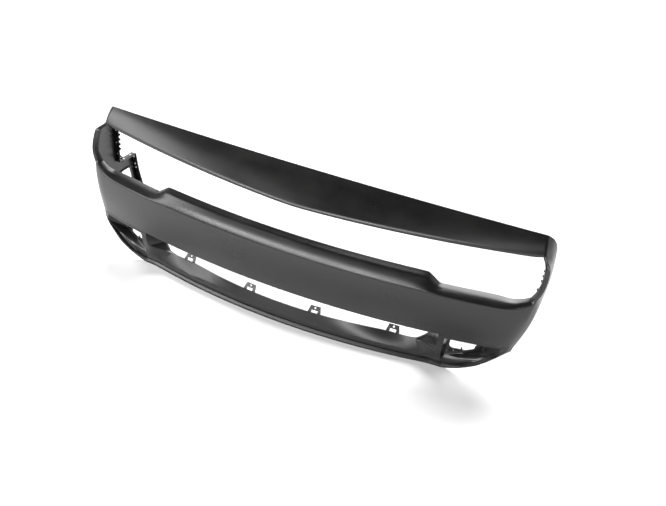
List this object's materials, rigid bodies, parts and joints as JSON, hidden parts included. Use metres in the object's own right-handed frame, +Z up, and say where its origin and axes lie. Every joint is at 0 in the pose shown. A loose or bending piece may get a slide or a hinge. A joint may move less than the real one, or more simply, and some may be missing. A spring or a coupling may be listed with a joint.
{
  "type": "front bumper cover",
  "caption": "Front bumper cover shell with an arrow-shaped header, a wide grille and headlamp slot, a bowed beam, a lower intake and fog-lamp pockets.",
  "frame": {"origin": "middle of the cover's bounding box, on the plane of its lowest edge", "axes": "+X across the car to the right seen from the front, -Y forwards, +Z up"},
  "size_m": [1.7912, 0.4369, 0.589],
  "materials": {
    "cover_satin_black": "satin moulded black with a fine primer-like sheen",
    "valance_satin_black": "satin moulded black",
    "bracket_black": "dull moulded black",
    "pin_black": "smooth black nylon",
    "zinc_fastener": "dull zinc plating"
  },
  "bodies": {
    "root": {"cover_skin": "cover_satin_black", "lower_valance": "valance_satin_black", "clip_rail_right": "bracket_black", "clip_rail_left": "bracket_black", "arch_bracket_right": "bracket_black", "arch_bracket_left": "bracket_black", "fog_bezel_right": "bracket_black", "fog_bezel_left": "bracket_black", "rail_rivet_1_right": "zinc_fastener", "rail_rivet_1_left": "zinc_fastener", "rail_rivet_2_right": "zinc_fastener", "rail_rivet_2_left": "zinc_fastener", "rail_rivet_3_right": "zinc_fastener", "rail_rivet_3_left": "zinc_fastener", "bracket_rivet_1_right": "zinc_fastener", "bracket_rivet_1_left": "zinc_fastener", "bracket_rivet_2_right": "zinc_fastener", "bracket_rivet_2_left": "zinc_fastener", "bracket_rivet_3_right": "zinc_fastener", "bracket_rivet_3_left": "zinc_fastener", "seam_pin_1_right": "pin_black", "seam_pin_1_left": "pin_black", "seam_pin_2_right": "pin_black", "seam_pin_2_left": "pin_black", "seam_pin_3_right": "pin_black", "seam_pin_3_left": "pin_black", "seam_pin_4_right": "pin_black", "seam_pin_4_left": "pin_black", "bezel_screw_1_right": "zinc_fastener", "bezel_screw_1_left": "zinc_fastener", "bezel_screw_2_right": "zinc_fastener", "bezel_screw_2_left": "zinc_fastener", "bezel_screw_3_right": "zinc_fastener", "bezel_screw_3_left": "zinc_fastener", "bezel_screw_4_right": "zinc_fastener", "bezel_screw_4_left": "zinc_fastener"}
  },
  "joints": []
}
